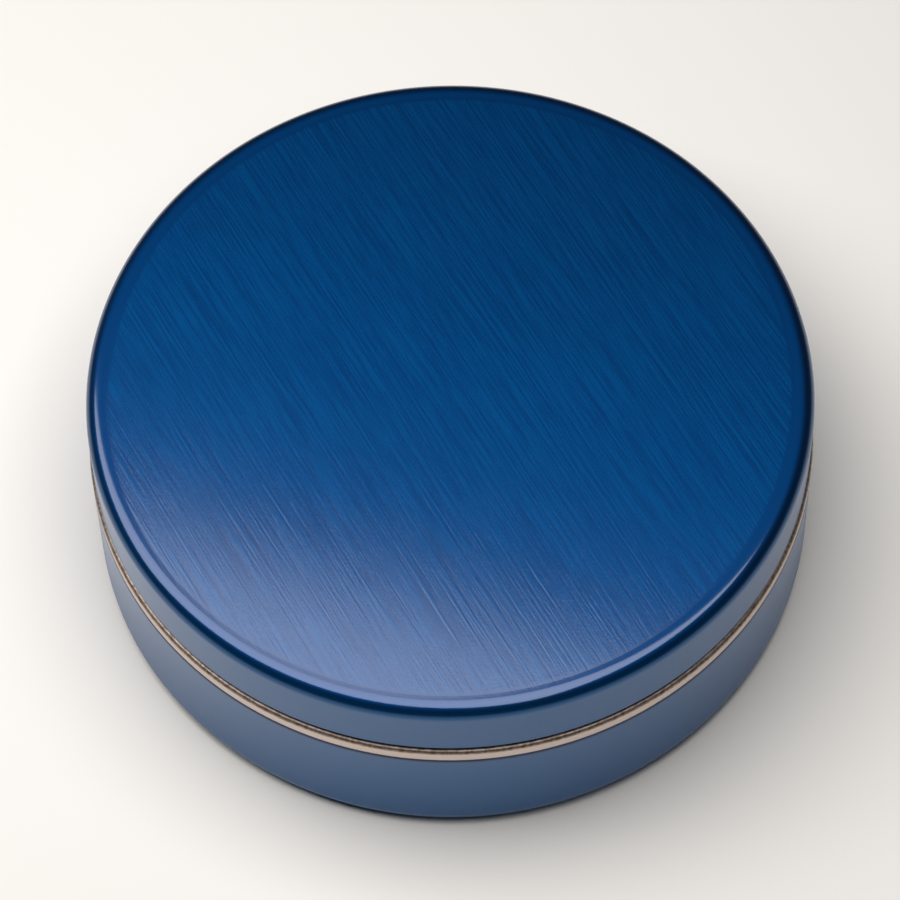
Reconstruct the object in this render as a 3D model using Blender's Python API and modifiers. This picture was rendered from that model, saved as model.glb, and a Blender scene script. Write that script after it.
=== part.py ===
"""Round slip-lid tin with a cake of violin rosin nested inside it.

Units are metres and +Z is up. The origin is the middle of the tin's foot, on the surface that it
stands on. Every piece is round and shares the vertical axis through the origin, so each one is
a profile, given as (radius, height) points, that a Screw modifier turns about that axis.
"""

import math

import bpy

MM = 0.001

# Clearance between neighbouring pieces, and facets around every turned piece
GAP = 0.3 * MM
FACETS = 48
MERGE_DISTANCE = 0.01 * MM

# Tin as a whole
TIN_RADIUS = 31.0 * MM
TIN_HEIGHT = 21.0 * MM
SHEET = 0.25 * MM
ROLL_BORE = 0.1 * MM
ROLL_DEPTH = 0.9 * MM

# Lid
LID_INSET = 0.2 * MM
SKIRT_DEPTH = 6.5 * MM
RIM_RADIUS = 1.15 * MM
PANEL_DROP = 0.15 * MM
PANEL_STEP = 0.3 * MM

# Base
BEAD_DEPTH = 1.45 * MM
BEAD_RADIUS = 0.35 * MM
NECK_FILLET = 0.3 * MM
GROOVE_DEPTH = 0.08 * MM
GROOVE_WIDTH = 0.24 * MM
CORNER_RADIUS = 2.0 * MM
FOOT_WIDTH = 1.6 * MM
FOOT_STEP = 0.5 * MM
FLOOR_RISE = 0.6 * MM

# Foam and felt inserts
BASE_PAD_THICKNESS = 2.0 * MM
LID_PAD_THICKNESS = 3.5 * MM
FOAM_WALL = 4.3 * MM
CAKE_STANDS_PROUD = 1.0 * MM

# Cake, its dish and its cloth
CLOTH_THICKNESS = 0.8 * MM
DISH_SHEET = 0.25 * MM
DISH_DEPTH = 5.0 * MM
DISH_CORNER = 1.5 * MM
CAKE_EDGE = 0.9 * MM

# Radii, from the outside in
LID_RADIUS = TIN_RADIUS - LID_INSET
ROLL_RADIUS = ROLL_BORE + SHEET
NECK_RADIUS = LID_RADIUS - 2 * ROLL_RADIUS - GAP
MOUTH_RADIUS = NECK_RADIUS - 2 * ROLL_RADIUS
FOAM_RADIUS = MOUTH_RADIUS - GAP
CLOTH_RADIUS = FOAM_RADIUS - FOAM_WALL - GAP
DISH_RADIUS = CLOTH_RADIUS - CLOTH_THICKNESS - GAP
CAKE_RADIUS = DISH_RADIUS - DISH_SHEET - GAP
BASE_PAD_RADIUS = TIN_RADIUS - SHEET - CORNER_RADIUS / 2

# Heights, from the floor of the tin up and from the lid down
BASE_PAD_SEAT = FLOOR_RISE + SHEET + GAP
CLOTH_SEAT = BASE_PAD_SEAT + BASE_PAD_THICKNESS + GAP
DISH_SEAT = CLOTH_SEAT + CLOTH_THICKNESS + GAP
CAKE_SEAT = DISH_SEAT + DISH_SHEET + GAP
LID_UNDERSIDE = TIN_HEIGHT - PANEL_DROP - SHEET
LID_PAD_SEAT = LID_UNDERSIDE - GAP - LID_PAD_THICKNESS
CAKE_TOP = LID_PAD_SEAT - GAP
FOAM_TOP = CAKE_TOP - CAKE_STANDS_PROUD
HEM_LEVEL = TIN_HEIGHT - SKIRT_DEPTH
SHOULDER_LEVEL = HEM_LEVEL - GAP
GROOVE_LEVEL = SHOULDER_LEVEL - BEAD_DEPTH
NECK_TOP = LID_UNDERSIDE - GAP


def clear_scene():
    for scene_object in list(bpy.data.objects):
        bpy.data.objects.remove(scene_object, do_unlink=True)


def new_collection(name):
    collection = bpy.data.collections.new(name)
    bpy.context.scene.collection.children.link(collection)
    return collection


def material(name, colour, roughness, metallic=0.0):
    made = bpy.data.materials.new(name)
    made.use_nodes = True
    shader = made.node_tree.nodes["Principled BSDF"]
    shader.inputs["Base Color"].default_value = (*colour, 1.0)
    shader.inputs["Roughness"].default_value = roughness
    shader.inputs["Metallic"].default_value = metallic
    made.diffuse_color = (*colour, 1.0)
    return made


def arc(centre, radius, start, end, steps):
    """Round stretch of a profile. Angles are in degrees: 0 points outward and 90 points up."""
    centre_radius, centre_height = centre
    points = []
    for step in range(steps + 1):
        angle = math.radians(start + (end - start) * step / steps)
        points.append((centre_radius + radius * math.cos(angle),
                       centre_height + radius * math.sin(angle)))
    return points


def turned(name, profile, finish, collection, seat=0.0, parent=None, closed=False, wall=0.0):
    """Turn a profile that runs down its outer side. A wall makes it a sheet of that thickness."""
    edges = [(index, index + 1) for index in range(len(profile) - 1)]
    if closed:
        edges.append((len(profile) - 1, 0))
    mesh = bpy.data.meshes.new(name)
    mesh.from_pydata([(radius, 0.0, height) for radius, height in profile], edges, [])
    piece = bpy.data.objects.new(name, mesh)
    collection.objects.link(piece)

    screw = piece.modifiers.new("Turn", "SCREW")
    screw.axis = "Z"
    screw.angle = math.tau
    screw.steps = FACETS
    screw.render_steps = FACETS
    screw.use_merge_vertices = True
    screw.merge_threshold = MERGE_DISTANCE
    if wall:
        sheet = piece.modifiers.new("Sheet", "SOLIDIFY")
        sheet.thickness = wall
        sheet.offset = -1.0
        sheet.use_even_offset = True

    depsgraph = bpy.context.evaluated_depsgraph_get()
    solid = bpy.data.meshes.new_from_object(piece.evaluated_get(depsgraph))
    solid.name = name
    solid.shade_smooth()
    solid.set_sharp_from_angle(angle=math.radians(35))
    solid.materials.clear()
    solid.materials.append(finish)
    piece.modifiers.clear()
    piece.data = solid
    bpy.data.meshes.remove(mesh)

    piece.location = (0.0, 0.0, seat)
    piece.parent = parent
    return piece


def axis_empty(name, collection, height, parent=None):
    """Empty on the tin's axis, at a joint. It carries the pieces that move on that joint."""
    empty = bpy.data.objects.new(name, None)
    empty.empty_display_size = 5 * MM
    collection.objects.link(empty)
    empty.parent = parent
    empty.location = (0.0, 0.0, height)
    return empty


def tin_base_profile():
    """Drawn cup with a rolled mouth, a neck for the lid, a bead, a groove and a standing foot."""
    roll_centre = (NECK_RADIUS - ROLL_RADIUS, NECK_TOP - ROLL_RADIUS)
    fillet_centre = (NECK_RADIUS + NECK_FILLET, SHOULDER_LEVEL + NECK_FILLET)
    bead_centre = (TIN_RADIUS - BEAD_RADIUS, SHOULDER_LEVEL - BEAD_RADIUS)
    corner_centre = (TIN_RADIUS - CORNER_RADIUS, CORNER_RADIUS)
    foot_inside = TIN_RADIUS - CORNER_RADIUS - FOOT_WIDTH
    return [
        (MOUTH_RADIUS, NECK_TOP - ROLL_DEPTH),
        *arc(roll_centre, ROLL_RADIUS, 180, 0, 4),
        *arc(fillet_centre, NECK_FILLET, 180, 270, 2),
        *arc(bead_centre, BEAD_RADIUS, 90, 0, 3),
        (TIN_RADIUS, GROOVE_LEVEL + GROOVE_WIDTH / 2),
        (TIN_RADIUS - GROOVE_DEPTH, GROOVE_LEVEL),
        (TIN_RADIUS, GROOVE_LEVEL - GROOVE_WIDTH / 2),
        *arc(corner_centre, CORNER_RADIUS, 0, -90, 4),
        (foot_inside, 0.0),
        (foot_inside - FOOT_STEP, FLOOR_RISE),
        (0.0, FLOOR_RISE),
    ]


def tin_lid_profile():
    """Drawn cap with a panel just below its rounded rim, and a hem rolled into its skirt."""
    rim_centre = (LID_RADIUS - RIM_RADIUS, -RIM_RADIUS)
    hem_centre = (LID_RADIUS - ROLL_RADIUS, ROLL_RADIUS - SKIRT_DEPTH)
    return [
        (0.0, -PANEL_DROP),
        (LID_RADIUS - RIM_RADIUS - PANEL_STEP, -PANEL_DROP),
        *arc(rim_centre, RIM_RADIUS, 90, 0, 5),
        *arc(hem_centre, ROLL_RADIUS, 0, -180, 4),
        (LID_RADIUS - 2 * ROLL_RADIUS, ROLL_DEPTH - SKIRT_DEPTH),
    ]


def disc_profile(radius, thickness):
    return [(0.0, thickness), (radius, thickness), (radius, 0.0), (0.0, 0.0)]


def foam_ring_profile():
    inside = CLOTH_RADIUS + GAP
    height = FOAM_TOP - CLOTH_SEAT
    return [(inside, height), (FOAM_RADIUS, height), (FOAM_RADIUS, 0.0), (inside, 0.0)]


def cup_profile(radius, height, corner):
    """Outer side of a round cup: wall, corner and floor. The sheet's thickness goes inward."""
    return [
        (radius, height),
        *arc((radius - corner, corner), corner, 0, -90, 4),
        (0.0, 0.0),
    ]


def rosin_profile():
    """Cast puck with a rounded upper edge. Its lower edge follows the dish's inner corner."""
    height = CAKE_TOP - CAKE_SEAT
    lower_round = DISH_CORNER - DISH_SHEET - GAP
    return [
        (0.0, height),
        *arc((CAKE_RADIUS - CAKE_EDGE, height - CAKE_EDGE), CAKE_EDGE, 90, 0, 3),
        *arc((CAKE_RADIUS - lower_round, lower_round), lower_round, 0, -90, 3),
        (0.0, 0.0),
    ]


def build():
    clear_scene()
    tin = new_collection("rosin_tin")

    lacquer = material("blue lacquered tinplate", (0.003, 0.075, 0.26), 0.32, 0.85)
    felt = material("dark wool felt", (0.02, 0.022, 0.028), 0.95)
    foam = material("charcoal foam", (0.035, 0.035, 0.038), 0.92)
    velvet = material("navy velvet", (0.008, 0.014, 0.05), 0.9)
    aluminium = material("pressed aluminium", (0.82, 0.82, 0.83), 0.35, 1.0)
    rosin = material("amber rosin", (0.42, 0.13, 0.02), 0.12)

    cake_lift = axis_empty("cake_lift", tin, CLOTH_SEAT)
    lid_lift = axis_empty("lid_lift", tin, LID_PAD_SEAT - CLOTH_SEAT, cake_lift)
    lid_turn = axis_empty("lid_turn", tin, TIN_HEIGHT - LID_PAD_SEAT, lid_lift)

    # Standing on the table
    turned("tin_base", tin_base_profile(), lacquer, tin, wall=SHEET)
    base_pad = disc_profile(BASE_PAD_RADIUS, BASE_PAD_THICKNESS)
    turned("base_pad", base_pad, felt, tin, seat=BASE_PAD_SEAT)
    turned("foam_ring", foam_ring_profile(), foam, tin, seat=CLOTH_SEAT, closed=True)

    # Lifting out together by the cloth
    cloth_corner = DISH_CORNER + GAP + CLOTH_THICKNESS
    cloth = cup_profile(CLOTH_RADIUS, FOAM_TOP - CLOTH_SEAT, cloth_corner)
    turned("cake_cloth", cloth, velvet, tin, parent=cake_lift, wall=CLOTH_THICKNESS)
    dish = cup_profile(DISH_RADIUS, DISH_DEPTH, DISH_CORNER)
    turned("cake_dish", dish, aluminium, tin, DISH_SEAT - CLOTH_SEAT, cake_lift, wall=DISH_SHEET)
    turned("rosin_cake", rosin_profile(), rosin, tin, CAKE_SEAT - CLOTH_SEAT, cake_lift)

    # Lifting off the neck, the lid turning about the pad that lies in it
    lid_pad = disc_profile(FOAM_RADIUS - GAP, LID_PAD_THICKNESS)
    turned("lid_pad", lid_pad, foam, tin, parent=lid_lift)
    turned("tin_lid", tin_lid_profile(), lacquer, tin, parent=lid_turn, wall=SHEET)


build()
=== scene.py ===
"""Looks of a closed round tin of bow rosin: blue lacquered tinplate outside, the cake in its nest inside."""

import math
import bpy
from mathutils import Euler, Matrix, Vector


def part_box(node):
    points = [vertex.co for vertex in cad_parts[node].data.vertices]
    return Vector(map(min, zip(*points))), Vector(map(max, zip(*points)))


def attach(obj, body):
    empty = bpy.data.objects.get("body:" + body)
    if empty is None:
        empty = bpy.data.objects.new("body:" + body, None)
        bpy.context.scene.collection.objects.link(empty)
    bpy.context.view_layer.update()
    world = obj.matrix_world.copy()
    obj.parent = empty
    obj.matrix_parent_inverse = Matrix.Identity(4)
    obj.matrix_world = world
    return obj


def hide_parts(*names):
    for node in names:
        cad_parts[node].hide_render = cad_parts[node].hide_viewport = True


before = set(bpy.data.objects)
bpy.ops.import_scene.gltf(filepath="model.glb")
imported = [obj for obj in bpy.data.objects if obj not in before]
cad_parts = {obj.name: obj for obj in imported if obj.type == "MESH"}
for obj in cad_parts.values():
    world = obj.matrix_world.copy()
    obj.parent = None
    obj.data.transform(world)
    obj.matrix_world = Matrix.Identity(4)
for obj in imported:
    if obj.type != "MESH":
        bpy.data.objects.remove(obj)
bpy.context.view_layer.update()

MM = 0.001

# ---------------------------------------------------------------------------------------------
# Tin base. A cup drawn from 0.25 mm tinplate, its mouth rolled in, with a neck for the lid and a
# bead under it. Its blue ink stops short of the bead, which leaves a strip of bright tin.
# ---------------------------------------------------------------------------------------------
SHEET = 0.25 * MM
ROLL = 0.35 * MM
FACETS = 240
GRAIN_TURN = math.radians(61.7)

base_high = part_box("tin_base")[1]
lid_low, lid_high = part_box("tin_lid")
TIN_RADIUS = base_high.x
MOUTH_RADIUS = lid_high.x - 4 * ROLL - 0.3 * MM
SHOULDER = lid_low.z - 0.3 * MM
GROOVE = SHOULDER - 1.45 * MM


def hex_colour(code):
    """Linear RGBA of an sRGB colour written as #rrggbb."""
    shares = [int(code[i:i + 2], 16) / 255 for i in (1, 3, 5)]
    return (*[s / 12.92 if s <= 0.04045 else ((s + 0.055) / 1.055) ** 2.4 for s in shares], 1.0)


def add_node(tree, kind, inputs=None, **settings):
    """Add a node. Inputs are values, or other nodes' outputs to link from, by socket name or number."""
    node = tree.nodes.new(kind)
    for name, value in settings.items():
        setattr(node, name, value)
    for socket, value in (inputs or {}).items():
        if isinstance(value, bpy.types.NodeSocket):
            tree.links.new(value, node.inputs[socket])
        else:
            node.inputs[socket].default_value = value
    return node


def rounded(corners, steps=10):
    """Profile through corners given as (radius, height, rounding), each rounding drawn as an arc."""
    spots = [Vector(corner[:2]) for corner in corners]
    cuts = [0.0]
    for before, here, after, corner in zip(spots, spots[1:], spots[2:], corners[1:]):
        half = (before - here).angle(after - here) / 2
        cuts.append(corner[2] / math.tan(half))
    cuts.append(0.0)
    points = [tuple(spots[0])]
    for i in range(1, len(spots) - 1):
        here, rounding = spots[i], corners[i][2]
        if rounding == 0:
            points.append(tuple(here))
            continue
        back = (spots[i - 1] - here).normalized()
        ahead = (spots[i + 1] - here).normalized()
        centre = here + (back + ahead).normalized() * math.hypot(rounding, cuts[i])
        start = here + back * cuts[i] - centre
        turned = start.angle_signed(here + ahead * cuts[i] - centre)
        room_before = (spots[i - 1] - here).length - cuts[i - 1] - cuts[i]
        room_after = (spots[i + 1] - here).length - cuts[i + 1] - cuts[i]
        # a short straight beside each arc keeps its shading off the flat next to it
        if room_before > 0.6 * rounding:
            points.append(tuple(centre + start + back * 0.2 * rounding))
        for step in range(steps + 1):
            swing = -turned * step / steps
            x = start.x * math.cos(swing) - start.y * math.sin(swing)
            y = start.x * math.sin(swing) + start.y * math.cos(swing)
            points.append((centre.x + x, centre.y + y))
        if room_after > 0.6 * rounding:
            points.append(tuple(here + ahead * (cuts[i] + 0.2 * rounding)))
    points.append(tuple(spots[-1]))
    return points


def turning_tree():
    """Turns a profile, drawn as (radius, height), about the Z axis."""
    tree = bpy.data.node_groups.new("turning", "GeometryNodeTree")
    face = tree.interface
    face.new_socket("Profile", in_out="INPUT", socket_type="NodeSocketGeometry")
    face.new_socket("Facets", in_out="INPUT", socket_type="NodeSocketInt")
    face.new_socket("Core Radius", in_out="INPUT", socket_type="NodeSocketFloat")
    face.new_socket("Unevenness", in_out="INPUT", socket_type="NodeSocketFloat")
    face.new_socket("Patch Size", in_out="INPUT", socket_type="NodeSocketFloat")
    face.new_socket("Material", in_out="INPUT", socket_type="NodeSocketMaterial")
    face.new_socket("Turned", in_out="OUTPUT", socket_type="NodeSocketGeometry")
    given = tree.nodes.new("NodeGroupInput").outputs

    outline = add_node(tree, "GeometryNodeMeshToCurve", {"Mesh": given["Profile"]})
    inward = add_node(tree, "ShaderNodeMath", {0: given["Core Radius"], 1: -1.0}, operation="MULTIPLY")
    offset = add_node(tree, "ShaderNodeCombineXYZ", {"X": inward.outputs[0]})
    placed = add_node(tree, "GeometryNodeTransform", {
        "Geometry": outline.outputs["Curve"], "Translation": offset.outputs[0],
        "Scale": (1.0, -1.0, 1.0)})
    path = add_node(tree, "GeometryNodeCurvePrimitiveCircle", {
        "Resolution": given["Facets"], "Radius": given["Core Radius"]})
    swept = add_node(tree, "GeometryNodeCurveToMesh", {
        "Curve": path.outputs["Curve"], "Profile Curve": placed.outputs["Geometry"]})
    joined = add_node(tree, "GeometryNodeMergeByDistance", {
        "Geometry": swept.outputs["Mesh"], "Distance": 0.002 * MM})

    place = tree.nodes.new("GeometryNodeInputPosition")
    patches = add_node(tree, "ShaderNodeVectorMath", {
        0: place.outputs[0], 3: given["Patch Size"]}, operation="SCALE")
    noise = add_node(tree, "ShaderNodeTexNoise", {
        "Vector": patches.outputs[0], "Scale": 1.0, "Detail": 1.0})
    depth = add_node(tree, "ShaderNodeMath", {
        0: noise.outputs[0], 1: given["Unevenness"]}, operation="MULTIPLY")
    depth_in = add_node(tree, "ShaderNodeMath", {0: depth.outputs[0], 1: -1.0}, operation="MULTIPLY")
    normal = tree.nodes.new("GeometryNodeInputNormal")
    dent = add_node(tree, "ShaderNodeVectorMath", {
        0: normal.outputs[0], 3: depth_in.outputs[0]}, operation="SCALE")
    dented = add_node(tree, "GeometryNodeSetPosition", {
        "Geometry": joined.outputs[0], "Offset": dent.outputs[0]})
    smooth = add_node(tree, "GeometryNodeSetShadeSmooth", {"Geometry": dented.outputs[0]})
    real = add_node(tree, "GeometryNodeRealizeInstances", {"Geometry": smooth.outputs[0]})
    finished = add_node(tree, "GeometryNodeSetMaterial", {
        "Geometry": real.outputs[0], "Material": given["Material"]})
    out = tree.nodes.new("NodeGroupOutput")
    tree.links.new(finished.outputs[0], out.inputs["Turned"])
    return tree


def plain_mesh(piece):
    """Turn what a piece's modifiers make into its own mesh."""
    depsgraph = bpy.context.evaluated_depsgraph_get()
    mesh = bpy.data.meshes.new_from_object(piece.evaluated_get(depsgraph))
    piece.modifiers.clear()
    piece.data = mesh
    return piece


TURNING = turning_tree()


def turn(name, profile, material, facets=FACETS, uneven=0.0, patch=9 * MM, closed=False):
    """A piece turned from a profile that runs down its outer side."""
    edges = [(i, i + 1) for i in range(len(profile) - 1)]
    if closed:
        edges.append((len(profile) - 1, 0))
    mesh = bpy.data.meshes.new(name)
    mesh.from_pydata([(r, z, 0.0) for r, z in profile], edges, [])
    piece = bpy.data.objects.new(name, mesh)
    bpy.context.scene.collection.objects.link(piece)
    turning = piece.modifiers.new("turning", "NODES")
    turning.node_group = TURNING
    sizes = {"Facets": facets, "Core Radius": 5 * MM, "Unevenness": uneven,
             "Patch Size": 1 / patch, "Material": material}
    for socket in TURNING.interface.items_tree:
        if socket.name in sizes:
            turning[socket.identifier] = sizes[socket.name]
    return plain_mesh(piece)


def sheet_wall(piece, thickness, inside):
    """Give a turned surface its wall, the second material on its inner side and cut edge."""
    piece.data.materials.append(inside)
    wall = piece.modifiers.new("wall", "SOLIDIFY")
    wall.thickness = thickness
    wall.offset = -1.0
    wall.material_offset = 1
    wall.material_offset_rim = 1
    plain_mesh(piece)
    piece.data.shade_smooth()
    piece.data.set_sharp_from_angle(angle=math.radians(38))
    return piece


def new_material(name):
    material = bpy.data.materials.new(name)
    material.use_nodes = True
    shader = material.node_tree.nodes["Principled BSDF"]
    return material, material.node_tree, shader


def lacquered_tinplate(name, bare_above=None):
    """Electrolytic tinplate under clear blue stoving lacquer. The steel's rolling lines show through
    as straight fine streaks wherever the sheet wasn't stretched by drawing."""
    material, tree, shader = new_material(name)
    coords = add_node(tree, "ShaderNodeTexCoord").outputs["Object"]
    along = add_node(tree, "ShaderNodeMapping", {"Vector": coords, "Rotation": (0, 0, GRAIN_TURN)})

    def streaks(length, width, detail, seed):
        """Noise in streaks of this length and width, in metres."""
        stretched = add_node(tree, "ShaderNodeVectorMath", {
            0: along.outputs[0], 1: (1 / length, 1 / width, 1 / width)}, operation="MULTIPLY")
        moved = add_node(tree, "ShaderNodeVectorMath", {
            0: stretched.outputs[0], 1: (seed, seed, seed)}, operation="ADD")
        return add_node(tree, "ShaderNodeTexNoise", {
            "Vector": moved.outputs[0], "Scale": 1.0, "Detail": detail,
            "Roughness": 0.55}).outputs[0]

    long_lines = streaks(11 * MM, 0.2 * MM, 1.0, 3.0)
    short_lines = streaks(2.6 * MM, 0.14 * MM, 1.0, 11.0)
    specks = streaks(0.16 * MM, 0.12 * MM, 1.0, 29.0)

    # drawn walls and roundings are stretched smooth
    flat = add_node(tree, "ShaderNodeVectorMath", {0: coords, 1: (1, 1, 0)}, operation="MULTIPLY")
    radius = add_node(tree, "ShaderNodeVectorMath", {0: flat.outputs[0]}, operation="LENGTH")
    undrawn = add_node(tree, "ShaderNodeMapRange", {
        "Value": radius.outputs["Value"], "From Min": TIN_RADIUS - 2.4 * MM,
        "From Max": TIN_RADIUS - 1.5 * MM, "To Min": 1.0, "To Max": 0.06},
        interpolation_type="SMOOTHSTEP")

    with_short = add_node(tree, "ShaderNodeMath", {
        0: short_lines, 1: 0.55, 2: long_lines}, operation="MULTIPLY_ADD")
    height = add_node(tree, "ShaderNodeMath", {
        0: specks, 1: 0.6, 2: with_short.outputs[0]}, operation="MULTIPLY_ADD")
    shown = add_node(tree, "ShaderNodeMath", {
        0: height.outputs[0], 1: undrawn.outputs[0]}, operation="MULTIPLY")
    bump = add_node(tree, "ShaderNodeBump", {
        "Height": shown.outputs[0], "Strength": 1.0, "Distance": 0.0048 * MM})

    # the walls are painted paler, painted light that brightens them; drawing thins the lacquer, so their
    # gloss is weaker
    walls = add_node(tree, "ShaderNodeMapRange", {
        "Value": radius.outputs["Value"], "From Min": TIN_RADIUS - 0.7 * MM,
        "From Max": TIN_RADIUS - 0.3 * MM, "To Min": 0.0, "To Max": 1.0})
    gloss = add_node(tree, "ShaderNodeMapRange", {
        "Value": walls.outputs[0], "To Min": 1.0, "To Max": 0.6})
    tone = add_node(tree, "ShaderNodeMapRange", {
        "Value": shown.outputs[0], "From Min": 0.9, "From Max": 1.25, "To Min": 0.0, "To Max": 1.0})
    blue = add_node(tree, "ShaderNodeMix", {
        "Factor": tone.outputs[0], 6: hex_colour("#003262"), 7: hex_colour("#004073")},
        data_type="RGBA")
    # painted light: the walls' paler blue
    colour = add_node(tree, "ShaderNodeMix", {
        "Factor": walls.outputs[0], 6: blue.outputs[2], 7: hex_colour("#004f84")},
        data_type="RGBA").outputs[2]
    coat = gloss.outputs[0]
    if bare_above is not None:
        depth = add_node(tree, "ShaderNodeSeparateXYZ", {"Vector": coords}).outputs["Z"]
        wobble = add_node(tree, "ShaderNodeTexNoise", {"Vector": coords, "Scale": 500.0}).outputs[0]
        level = add_node(tree, "ShaderNodeMath", {
            0: wobble, 1: 0.05 * MM, 2: depth}, operation="MULTIPLY_ADD").outputs[0]

        def above(height, soft):
            """1 above this height and 0 below it."""
            return add_node(tree, "ShaderNodeMapRange", {
                "Value": level, "From Min": height - soft, "From Max": height + soft}).outputs[0]

        edge = bare_above + 0.03 * MM
        # a darker blue line about 0.4 mm wide just below the ink's edge
        colour = add_node(tree, "ShaderNodeMix", {
            "Factor": above(edge - 0.42 * MM, 0.12 * MM), 6: colour, 7: hex_colour("#002c55")},
            data_type="RGBA").outputs[2]
        colour = add_node(tree, "ShaderNodeMix", {
            "Factor": above(edge, 0.03 * MM), 6: colour, 7: hex_colour("#d3c3ba")},
            data_type="RGBA").outputs[2]
        # the bead's top edge is painted brown in patches, painted shade under the lid's hem
        hem_shade_noise = add_node(tree, "ShaderNodeTexNoise", {"Vector": coords, "Scale": 3000.0, "Detail": 2.0})
        hem_shade_patches = add_node(tree, "ShaderNodeMapRange", {
            "Value": hem_shade_noise.outputs[0], "From Min": 0.35, "From Max": 0.6, "To Min": 1.0, "To Max": 0.6})
        topped = add_node(tree, "ShaderNodeMath", {
            0: above(SHOULDER - 0.3 * MM, 0.08 * MM), 1: above(SHOULDER + 0.15 * MM, 0.1 * MM)},
            operation="SUBTRACT")
        painted_hem_shade = add_node(tree, "ShaderNodeMath", {
            0: hem_shade_patches.outputs[0], 1: topped.outputs[0]}, operation="MULTIPLY")
        colour = add_node(tree, "ShaderNodeMix", {
            "Factor": painted_hem_shade.outputs[0], 6: colour, 7: hex_colour("#7d6a5c")},
            data_type="RGBA").outputs[2]
        bare = add_node(tree, "ShaderNodeMath", {0: 1.0, 1: above(edge, 0.03 * MM)}, operation="SUBTRACT")
        coat = add_node(tree, "ShaderNodeMath", {
            0: bare.outputs[0], 1: coat}, operation="MULTIPLY").outputs[0]
        # the coat is weakened towards the foot, painted shade that darkens the lower wall
        foot_shade = add_node(tree, "ShaderNodeMapRange", {
            "Value": depth, "From Min": 1 * MM, "From Max": 12 * MM, "To Min": 0.5, "To Max": 1.0})
        coat = add_node(tree, "ShaderNodeMath", {
            0: foot_shade.outputs[0], 1: coat}, operation="MULTIPLY").outputs[0]
    tree.links.new(coat, shader.inputs["Coat Weight"])
    tree.links.new(colour, shader.inputs["Base Color"])
    tree.links.new(bump.outputs[0], shader.inputs["Normal"])
    tree.links.new(bump.outputs[0], shader.inputs["Coat Normal"])
    shader.inputs["Metallic"].default_value = 1.0
    shader.inputs["Roughness"].default_value = 0.48
    shader.inputs["Coat Roughness"].default_value = 0.11
    shader.inputs["Coat IOR"].default_value = 1.5
    return material


def bare_tinplate(name):
    """Bright bare tin on steel, as on the inside of the tin: pale, warm grey and satin."""
    material, tree, shader = new_material(name)
    coords = add_node(tree, "ShaderNodeTexCoord").outputs["Object"]
    spread = add_node(tree, "ShaderNodeTexNoise", {"Vector": coords, "Scale": 700.0, "Detail": 3.0})
    rough = add_node(tree, "ShaderNodeMapRange", {
        "Value": spread.outputs[0], "To Min": 0.24, "To Max": 0.36})
    shader.inputs["Base Color"].default_value = hex_colour("#d5ccc2")
    shader.inputs["Metallic"].default_value = 1.0
    tree.links.new(rough.outputs[0], shader.inputs["Roughness"])
    return material


tin_inside = bare_tinplate("bare_tinplate")
base_outside = lacquered_tinplate("lacquered_tinplate_base", bare_above=GROOVE)

NECK_RADIUS = MOUTH_RADIUS + 2 * ROLL
FLOOR_RISE = 0.6 * MM
base_profile = rounded([
    (MOUTH_RADIUS, base_high.z - 0.9 * MM, 0),
    (MOUTH_RADIUS, base_high.z, ROLL),
    (NECK_RADIUS, base_high.z, ROLL),
    (NECK_RADIUS, SHOULDER, 0.3 * MM),
    (TIN_RADIUS, SHOULDER, 0.35 * MM),
    (TIN_RADIUS, GROOVE + 0.2 * MM, 0.25 * MM),
    (TIN_RADIUS - 0.08 * MM, GROOVE, 0.15 * MM),
    (TIN_RADIUS, GROOVE - 0.2 * MM, 0.25 * MM),
    (TIN_RADIUS, 0.0, 2.0 * MM),
    (TIN_RADIUS - 3.6 * MM, 0.0, 0.2 * MM),
    (TIN_RADIUS - 4.1 * MM, FLOOR_RISE, 0.3 * MM),
    (20 * MM, FLOOR_RISE, 0),
    (10 * MM, FLOOR_RISE, 0),
    (0.0, FLOOR_RISE, 0),
])
tin_base = turn("base_shell", base_profile, base_outside)
sheet_wall(tin_base, SHEET, tin_inside)
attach(tin_base, "tin")
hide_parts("tin_base")

# ---------------------------------------------------------------------------------------------
# Base pad. A disc die-cut from 2 mm grey wool felt, glued to the floor of the tin so that the cake
# doesn't rattle. Felt cuts clean, so its edge is square with a little fuzz.
# ---------------------------------------------------------------------------------------------
def wool_felt():
    """Pressed wool felt: matted short fibres in mixed greys, dull, with a slight bloom of loose ends."""
    material, tree, shader = new_material("wool_felt")
    coords = add_node(tree, "ShaderNodeTexCoord").outputs["Object"]
    swirl = add_node(tree, "ShaderNodeTexNoise", {
        "Vector": coords, "Scale": 900.0, "Detail": 5.0, "Roughness": 0.7, "Distortion": 2.5})
    mottle = add_node(tree, "ShaderNodeTexNoise", {"Vector": coords, "Scale": 160.0, "Detail": 2.0})
    blend = add_node(tree, "ShaderNodeMath", {
        0: swirl.outputs[0], 1: mottle.outputs[0]}, operation="MULTIPLY")
    greys = add_node(tree, "ShaderNodeValToRGB", {"Fac": blend.outputs[0]})
    greys.color_ramp.elements[0].position = 0.12
    greys.color_ramp.elements[0].color = hex_colour("#5f5e5e")
    greys.color_ramp.elements[1].position = 0.42
    greys.color_ramp.elements[1].color = hex_colour("#a5a19b")
    bump = add_node(tree, "ShaderNodeBump", {
        "Height": swirl.outputs[0], "Strength": 0.8, "Distance": 0.25 * MM})
    tree.links.new(greys.outputs[0], shader.inputs["Base Color"])
    tree.links.new(bump.outputs[0], shader.inputs["Normal"])
    shader.inputs["Roughness"].default_value = 0.95
    shader.inputs["Specular IOR Level"].default_value = 0.2
    shader.inputs["Sheen Weight"].default_value = 0.35
    shader.inputs["Sheen Roughness"].default_value = 0.5
    return material


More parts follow.
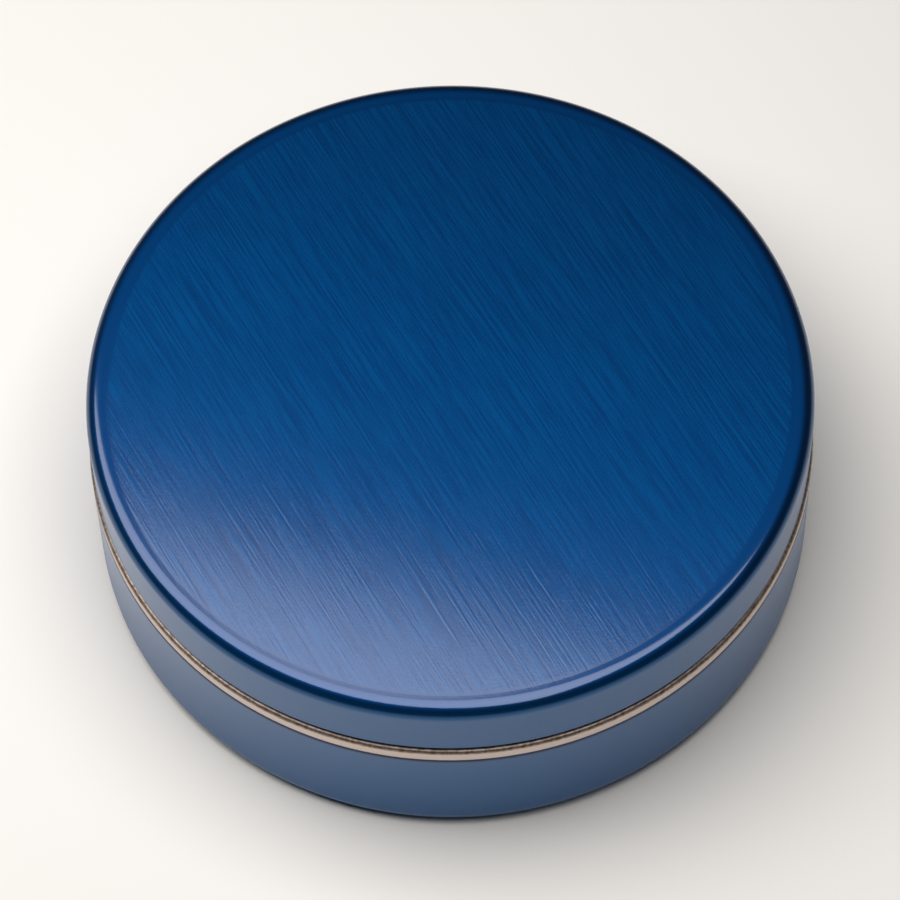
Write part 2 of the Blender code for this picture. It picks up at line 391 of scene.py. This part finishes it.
felt = wool_felt()
pad_low, pad_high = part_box("base_pad")
base_pad = turn("felt_disc", rounded([
    (0.0, pad_high.z - 0.05 * MM, 0),
    (8 * MM, pad_high.z - 0.05 * MM, 0),
    (16 * MM, pad_high.z - 0.05 * MM, 0),
    (23 * MM, pad_high.z - 0.05 * MM, 0),
    (pad_high.x - 0.05 * MM, pad_high.z - 0.05 * MM, 0.35 * MM),
    (pad_high.x - 0.05 * MM, pad_low.z, 0.25 * MM),
    (15 * MM, pad_low.z, 0),
    (0.0, pad_low.z, 0),
]), felt, uneven=0.06 * MM)
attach(base_pad, "tin")
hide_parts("base_pad")

# ---------------------------------------------------------------------------------------------
# Foam ring. Charcoal open-cell polyurethane foam, cut with a knife die, which centres the cake and
# takes up the knocks. Its cut faces show open pores, and its corners are slightly crushed.
# ---------------------------------------------------------------------------------------------
def charcoal_foam():
    """Open-cell foam: pores of a third of a millimetre, with painted shade making them darker in their depth
    than on their rims.
    """
    material, tree, shader = new_material("charcoal_foam")
    coords = add_node(tree, "ShaderNodeTexCoord").outputs["Object"]
    pores = add_node(tree, "ShaderNodeTexVoronoi", {
        "Vector": coords, "Scale": 2600.0, "Randomness": 1.0})
    fine = add_node(tree, "ShaderNodeTexNoise", {"Vector": coords, "Scale": 5200.0, "Detail": 2.0})
    depth = add_node(tree, "ShaderNodeMath", {
        0: fine.outputs[0], 1: 0.35, 2: pores.outputs["Distance"]}, operation="MULTIPLY_ADD")
    # painted shade: the ramp makes the pores' depths darker than their rims
    painted_pore_shade = add_node(tree, "ShaderNodeValToRGB", {"Fac": depth.outputs[0]})
    painted_pore_shade.color_ramp.elements[0].position = 0.25
    painted_pore_shade.color_ramp.elements[0].color = hex_colour("#17181a")
    painted_pore_shade.color_ramp.elements[1].position = 0.75
    painted_pore_shade.color_ramp.elements[1].color = hex_colour("#45484d")
    bump = add_node(tree, "ShaderNodeBump", {
        "Height": depth.outputs[0], "Strength": 0.9, "Distance": 0.18 * MM})
    tree.links.new(painted_pore_shade.outputs[0], shader.inputs["Base Color"])
    tree.links.new(bump.outputs[0], shader.inputs["Normal"])
    shader.inputs["Roughness"].default_value = 0.88
    shader.inputs["Specular IOR Level"].default_value = 0.3
    return material


foam = charcoal_foam()
ring_low, ring_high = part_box("foam_ring")
RING_BORE = ring_high.x - 4.3 * MM
foam_ring = turn("cut_foam_ring", rounded([
    (RING_BORE, ring_low.z + 0.6 * MM, 0),
    (RING_BORE, ring_high.z, 0.5 * MM),
    (ring_high.x, ring_high.z, 0.6 * MM),
    (ring_high.x, ring_low.z, 0.3 * MM),
    (RING_BORE, ring_low.z, 0.3 * MM),
    (RING_BORE, ring_low.z + 0.5 * MM, 0),
]), foam, uneven=0.14 * MM, patch=5 * MM, closed=True)
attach(foam_ring, "tin")
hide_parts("foam_ring")

# ---------------------------------------------------------------------------------------------
# Cake dish. A shallow cup pressed from 0.25 mm aluminium, which the hot rosin is poured into. The
# press leaves fine rings round it.
# ---------------------------------------------------------------------------------------------
def pressed_aluminium():
    """Mill-finish aluminium with the fine rings of the press tool."""
    material, tree, shader = new_material("pressed_aluminium")
    coords = add_node(tree, "ShaderNodeTexCoord").outputs["Object"]
    flat = add_node(tree, "ShaderNodeVectorMath", {0: coords, 1: (1, 1, 0)}, operation="MULTIPLY")
    radius = add_node(tree, "ShaderNodeVectorMath", {0: flat.outputs[0]}, operation="LENGTH")
    height = add_node(tree, "ShaderNodeSeparateXYZ", {"Vector": coords})
    across = add_node(tree, "ShaderNodeMath", {
        0: radius.outputs["Value"], 1: height.outputs["Z"]}, operation="ADD")
    place = add_node(tree, "ShaderNodeCombineXYZ", {"X": across.outputs[0]})
    rings = add_node(tree, "ShaderNodeTexNoise", {
        "Vector": place.outputs[0], "Scale": 4000.0, "Detail": 3.0})
    bump = add_node(tree, "ShaderNodeBump", {
        "Height": rings.outputs[0], "Strength": 0.5, "Distance": 0.01 * MM})
    rough = add_node(tree, "ShaderNodeMapRange", {
        "Value": rings.outputs[0], "To Min": 0.22, "To Max": 0.4})
    tree.links.new(rough.outputs[0], shader.inputs["Roughness"])
    tree.links.new(bump.outputs[0], shader.inputs["Normal"])
    shader.inputs["Base Color"].default_value = hex_colour("#d6d7d8")
    shader.inputs["Metallic"].default_value = 1.0
    return material


aluminium = pressed_aluminium()
dish_low, dish_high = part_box("cake_dish")
dish = turn("pressed_dish", rounded([
    (dish_high.x, dish_high.z, 0),
    (dish_high.x, dish_low.z, 1.5 * MM),
    (15 * MM, dish_low.z, 0),
    (0.0, dish_low.z, 0),
]), aluminium)
sheet_wall(dish, SHEET, aluminium)
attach(dish, "cake")
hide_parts("cake_dish")

# ---------------------------------------------------------------------------------------------
# Rosin cake. Amber rosin cast in the dish. It sets like glass, with a rounded top edge, a skin
# that sags a little in the middle, and a bloom of white dust where it has been touched.
# ---------------------------------------------------------------------------------------------
def amber_rosin():
    """Cast rosin: clear dark amber, glossy, with a dull film of its own powder in patches."""
    material, tree, shader = new_material("amber_rosin")
    coords = add_node(tree, "ShaderNodeTexCoord").outputs["Object"]
    flow = add_node(tree, "ShaderNodeTexNoise", {
        "Vector": coords, "Scale": 70.0, "Detail": 2.0, "Distortion": 1.2})
    ambers = add_node(tree, "ShaderNodeValToRGB", {"Fac": flow.outputs[0]})
    ambers.color_ramp.elements[0].position = 0.3
    ambers.color_ramp.elements[0].color = hex_colour("#9a4a0c")
    ambers.color_ramp.elements[1].position = 0.7
    ambers.color_ramp.elements[1].color = hex_colour("#d07d1e")
    drawn = add_node(tree, "ShaderNodeMapping", {
        "Vector": coords, "Rotation": (0, 0, 0.9), "Scale": (120.0, 2600.0, 400.0)})
    scratches = add_node(tree, "ShaderNodeTexNoise", {
        "Vector": drawn.outputs[0], "Scale": 1.0, "Detail": 2.0})
    patches = add_node(tree, "ShaderNodeTexNoise", {"Vector": coords, "Scale": 130.0, "Detail": 6.0})
    grains = add_node(tree, "ShaderNodeTexNoise", {"Vector": coords, "Scale": 4000.0, "Detail": 3.0})
    layer = add_node(tree, "ShaderNodeMath", {
        0: patches.outputs[0], 1: grains.outputs[0]}, operation="ADD")
    streaked = add_node(tree, "ShaderNodeMath", {
        0: scratches.outputs[0], 1: 0.5, 2: layer.outputs[0]}, operation="MULTIPLY_ADD")
    dust = add_node(tree, "ShaderNodeMapRange", {
        "Value": streaked.outputs[0], "From Min": 1.33, "From Max": 1.75, "To Max": 0.7})
    colour = add_node(tree, "ShaderNodeMix", {
        "Factor": dust.outputs[0], 6: ambers.outputs[0], 7: hex_colour("#e6cfa6")}, data_type="RGBA")
    rough = add_node(tree, "ShaderNodeMapRange", {
        "Value": dust.outputs[0], "From Min": 0.0, "From Max": 0.7, "To Min": 0.09, "To Max": 0.75})
    clear = add_node(tree, "ShaderNodeMapRange", {
        "Value": dust.outputs[0], "From Min": 0.0, "From Max": 0.7, "To Min": 0.4, "To Max": 0.0})
    bump = add_node(tree, "ShaderNodeBump", {
        "Height": streaked.outputs[0], "Strength": 0.3, "Distance": 0.03 * MM})
    tree.links.new(colour.outputs[2], shader.inputs["Base Color"])
    tree.links.new(rough.outputs[0], shader.inputs["Roughness"])
    tree.links.new(clear.outputs[0], shader.inputs["Transmission Weight"])
    tree.links.new(bump.outputs[0], shader.inputs["Normal"])
    shader.inputs["IOR"].default_value = 1.53
    return material


rosin = amber_rosin()
cake_low, cake_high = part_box("rosin_cake")
CAKE_RADIUS = cake_high.x
cake = turn("cast_cake", rounded([
    (0.0, cake_high.z - 0.35 * MM, 0),
    (7 * MM, cake_high.z - 0.32 * MM, 9 * MM),
    (15 * MM, cake_high.z - 0.18 * MM, 9 * MM),
    (CAKE_RADIUS - 1.8 * MM, cake_high.z, 2.4 * MM),
    (CAKE_RADIUS, cake_high.z - 0.1 * MM, 0.85 * MM),
    (CAKE_RADIUS, cake_low.z, 0.95 * MM),
    (10 * MM, cake_low.z, 0),
    (0.0, cake_low.z, 0),
]), rosin, uneven=0.05 * MM, patch=7 * MM)
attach(cake, "cake")
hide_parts("rosin_cake")

# ---------------------------------------------------------------------------------------------
# Cake cloth. A round of navy cotton velvet, pushed into the foam ring by the cake and dish. It lines
# the nest, and its free edge falls outward over the ring in small waves.
# ---------------------------------------------------------------------------------------------
def navy_velvet():
    """Cotton velvet: a dark pile that shows pale where it is seen edge-on, brushed in patches."""
    material, tree, shader = new_material("navy_velvet")
    coords = add_node(tree, "ShaderNodeTexCoord").outputs["Object"]
    pile = add_node(tree, "ShaderNodeTexNoise", {
        "Vector": coords, "Scale": 3200.0, "Detail": 3.0, "Roughness": 0.7})
    brushed = add_node(tree, "ShaderNodeTexNoise", {
        "Vector": coords, "Scale": 140.0, "Detail": 2.0, "Distortion": 0.8})
    shade = add_node(tree, "ShaderNodeMath", {
        0: pile.outputs[0], 1: 0.4, 2: brushed.outputs[0]}, operation="MULTIPLY_ADD")
    blues = add_node(tree, "ShaderNodeValToRGB", {"Fac": shade.outputs[0]})
    blues.color_ramp.elements[0].position = 0.5
    blues.color_ramp.elements[0].color = hex_colour("#0c1330")
    blues.color_ramp.elements[1].position = 0.85
    blues.color_ramp.elements[1].color = hex_colour("#26346b")
    bump = add_node(tree, "ShaderNodeBump", {
        "Height": pile.outputs[0], "Strength": 0.9, "Distance": 0.12 * MM})
    tree.links.new(blues.outputs[0], shader.inputs["Base Color"])
    tree.links.new(bump.outputs[0], shader.inputs["Normal"])
    shader.inputs["Roughness"].default_value = 0.9
    shader.inputs["Specular IOR Level"].default_value = 0.15
    shader.inputs["Sheen Weight"].default_value = 0.8
    shader.inputs["Sheen Roughness"].default_value = 0.3
    shader.inputs["Sheen Tint"].default_value = hex_colour("#8c9ad8")
    return material


velvet = navy_velvet()
cloth_low, cloth_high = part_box("cake_cloth")
WALL_RADIUS = cloth_high.x - 0.3 * MM
CORNER = 2.3 * MM
EDGE_FALL = 4.2 * MM
AROUND = 220
# a cup, then the free edge, which starts raised and waved
rows = [(WALL_RADIUS * share, cloth_low.z + 0.35 * MM, 0.0) for share in (0.0, 0.3, 0.6, 0.8)]
for step in range(7):
    a = math.pi / 2 * step / 6
    rows.append((WALL_RADIUS - CORNER + CORNER * math.sin(a),
                 cloth_low.z + 0.35 * MM + CORNER * (1 - math.cos(a)), 0.0))
WALL_TOP = cloth_high.z - 0.5 * MM
wall_start = rows[-1][1]
for step in range(1, 8):
    rows.append((WALL_RADIUS, wall_start + (WALL_TOP - wall_start) * step / 7, 0.0))
PINNED_ROWS = len(rows)
for step in range(1, 9):
    share = step / 8
    rows.append((WALL_RADIUS + EDGE_FALL * share * 0.8, WALL_TOP + 0.7 * MM + EDGE_FALL * share * 0.6, share))
points, faces = [], []
for row, (r, z, share) in enumerate(rows):
    for i in range(AROUND):
        a = 2 * math.pi * i / AROUND
        wave = math.sin(17 * a + 0.6) + 0.6 * math.sin(11 * a + 2.1) + 0.4 * math.sin(29 * a + 4.0)
        height = z + 0.62 * MM * share * wave
        reach = r + 0.25 * MM * share * math.sin(23 * a + 1.0)
        points.append((reach * math.cos(a), reach * math.sin(a), height))
for row in range(len(rows) - 1):
    for i in range(AROUND):
        j = (i + 1) % AROUND
        faces.append((row * AROUND + i, row * AROUND + j, (row + 1) * AROUND + j, (row + 1) * AROUND + i))

# simulated at 100 times its size, where the solver's smallest distances don't matter
BIG = 100
cloth_mesh = bpy.data.meshes.new("velvet_lining")
cloth_mesh.from_pydata([(x * BIG, y * BIG, z * BIG) for x, y, z in points], [], faces)
cloth = bpy.data.objects.new("velvet_lining", cloth_mesh)
bpy.context.scene.collection.objects.link(cloth)
held_rows = cloth.vertex_groups.new(name="held")
held_rows.add(list(range(PINNED_ROWS * AROUND)), 1.0, "REPLACE")
blocks = []
for solid in (foam_ring, cake):
    block_mesh = solid.data.copy()
    for vertex in block_mesh.vertices:
        vertex.co *= BIG
    block = bpy.data.objects.new("block", block_mesh)
    bpy.context.scene.collection.objects.link(block)
    block.modifiers.new("solid", "COLLISION")
    block.collision.thickness_outer = 0.02
    block.collision.cloth_friction = 20
    blocks.append(block)
settle = cloth.modifiers.new("settle", "CLOTH")
settle.settings.quality = 8
settle.settings.mass = 0.3
settle.settings.tension_stiffness = 60
settle.settings.compression_stiffness = 40
settle.settings.shear_stiffness = 20
settle.settings.bending_stiffness = 0.3
settle.settings.air_damping = 2.0
settle.settings.vertex_group_mass = "held"
settle.collision_settings.collision_quality = 4
settle.collision_settings.distance_min = 0.02
settle.collision_settings.use_self_collision = False
settle.point_cache.frame_start = 1
settle.point_cache.frame_end = 40
for frame_number in range(1, 41):
    bpy.context.scene.frame_set(frame_number)
plain_mesh(cloth)
bpy.context.scene.frame_set(1)
for block in blocks:
    bpy.data.objects.remove(block)
for vertex in cloth.data.vertices:
    vertex.co /= BIG
    vertex.co.z = min(vertex.co.z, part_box("lid_pad")[0].z - 0.35 * MM)
weld = cloth.modifiers.new("weld", "WELD")
weld.merge_threshold = 0.002 * MM
thickness = cloth.modifiers.new("pile", "SOLIDIFY")
thickness.thickness = 0.45 * MM
thickness.offset = 0.0
smoother = cloth.modifiers.new("smoother", "SUBSURF")
smoother.levels = 1
smoother.render_levels = 1
plain_mesh(cloth)
cloth.data.materials.clear()
cloth.data.materials.append(velvet)
cloth.data.shade_smooth()
cloth.vertex_groups.clear()
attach(cloth, "cake")
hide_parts("cake_cloth")

# ---------------------------------------------------------------------------------------------
# Lid pad. A disc of the same foam stuck under the lid's panel, which presses lightly on the cake
# so that it doesn't rattle or chip.
# ---------------------------------------------------------------------------------------------
liner_low, liner_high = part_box("lid_pad")
lid_pad = turn("lid_foam_disc", rounded([
    (0.0, liner_high.z, 0),
    (12 * MM, liner_high.z, 0),
    (liner_high.x, liner_high.z, 0.4 * MM),
    (liner_high.x, liner_low.z, 0.9 * MM),
    (22 * MM, liner_low.z, 0),
    (16 * MM, liner_low.z, 0),
    (8 * MM, liner_low.z, 0),
    (0.0, liner_low.z, 0),
]), foam, uneven=0.12 * MM, patch=6 * MM)
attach(lid_pad, "lid_liner")
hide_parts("lid_pad")

# ---------------------------------------------------------------------------------------------
# Tin lid. A cap drawn from the same sheet: a flat panel that sits just below its rounded rim, a
# straight skirt, and a hem rolled inward so that no cut edge shows. It's lacquered outside only.
# ---------------------------------------------------------------------------------------------
LID_RADIUS = lid_high.x
PANEL_EDGE = LID_RADIUS - 1.15 * MM
lid_outside = lacquered_tinplate("lacquered_tinplate_lid")
lid_profile = rounded([
    (0.0, lid_high.z - 0.009 * MM, 0),
    (10 * MM, lid_high.z - 0.009 * MM, 0),
    (20 * MM, lid_high.z - 0.009 * MM, 0),
    (27 * MM, lid_high.z - 0.009 * MM, 0),
    (PANEL_EDGE - 0.6 * MM, lid_high.z - 0.009 * MM, 3 * MM),
    (PANEL_EDGE - 0.2 * MM, lid_high.z, 3 * MM),
    (LID_RADIUS, lid_high.z, 1.15 * MM),
    (LID_RADIUS, lid_low.z, ROLL),
    (LID_RADIUS - 2 * ROLL, lid_low.z, ROLL),
    (LID_RADIUS - 2 * ROLL, lid_low.z + 0.9 * MM, 0),
])
tin_lid = turn("lid_shell", lid_profile, lid_outside)
sheet_wall(tin_lid, SHEET, tin_inside)
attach(tin_lid, "lid")
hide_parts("tin_lid")

# ---------------------------------------------------------------------------------------------
# Table, light and camera. A pale table, one soft overhead box and a long lens.
# ---------------------------------------------------------------------------------------------
table_mesh = bpy.data.meshes.new("table")
table_mesh.from_pydata([(-2, -2, 0), (2, -2, 0), (2, 2, 0), (-2, 2, 0)], [], [(0, 1, 2, 3)])
table = bpy.data.objects.new("table", table_mesh)
bpy.context.scene.collection.objects.link(table)
table_paint, _, table_shader = new_material("table_paint")
table_shader.inputs["Base Color"].default_value = (0.86, 0.82, 0.77, 1.0)
table_shader.inputs["Roughness"].default_value = 0.9
table_shader.inputs["Specular IOR Level"].default_value = 0.1
table_mesh.materials.append(table_paint)

LAMP_RISE = 230 * MM
softbox = bpy.data.lights.new("softbox", "AREA")
softbox.shape = "RECTANGLE"
softbox.size = 1.6 * LAMP_RISE
softbox.size_y = 0.85 * LAMP_RISE
RADIANCE = 4.6
softbox.energy = RADIANCE * math.pi * softbox.size * softbox.size_y
softbox_lamp = bpy.data.objects.new("softbox", softbox)
LAMP_TURN = math.radians(-20)
FAR_EDGE = 0.404 * LAMP_RISE
lamp_reach = FAR_EDGE * math.cos(LAMP_TURN) - softbox.size_y / 2
LAMP_SHIFT = -0.35 * LAMP_RISE
softbox_lamp.location = (
    LAMP_SHIFT * math.cos(LAMP_TURN) - lamp_reach * math.sin(LAMP_TURN),
    LAMP_SHIFT * math.sin(LAMP_TURN) + lamp_reach * math.cos(LAMP_TURN),
    lid_high.z + LAMP_RISE)
softbox_lamp.rotation_euler = (0, 0, LAMP_TURN)
softbox_lamp.visible_camera = False
bpy.context.scene.collection.objects.link(softbox_lamp)

world = bpy.data.worlds.new("room")
world.use_nodes = True
world.node_tree.nodes["Background"].inputs["Color"].default_value = (0.4, 0.6, 0.8, 1.0)
world.node_tree.nodes["Background"].inputs["Strength"].default_value = 0.06
bpy.context.scene.world = world
bpy.context.scene.view_settings.view_transform = "Standard"

TARGET = Vector((-0.14, -3.4, 16.0)) * MM
ELEVATION = math.radians(61.05)
DISTANCE = 400 * MM
ROLL_ANGLE = -0.0276
lens = bpy.data.cameras.new("camera")
lens.lens = 4709 * 36 / 900
lens.clip_start = 0.01
lens.clip_end = 10
camera = bpy.data.objects.new("camera", lens)
bpy.context.scene.collection.objects.link(camera)
camera.location = TARGET + DISTANCE * Vector((0, -math.cos(ELEVATION), math.sin(ELEVATION)))
camera.rotation_mode = "QUATERNION"
facing = (TARGET - camera.location).to_track_quat("-Z", "Y")
camera.rotation_quaternion = facing @ Euler((0, 0, ROLL_ANGLE)).to_quaternion()
bpy.context.scene.camera = camera
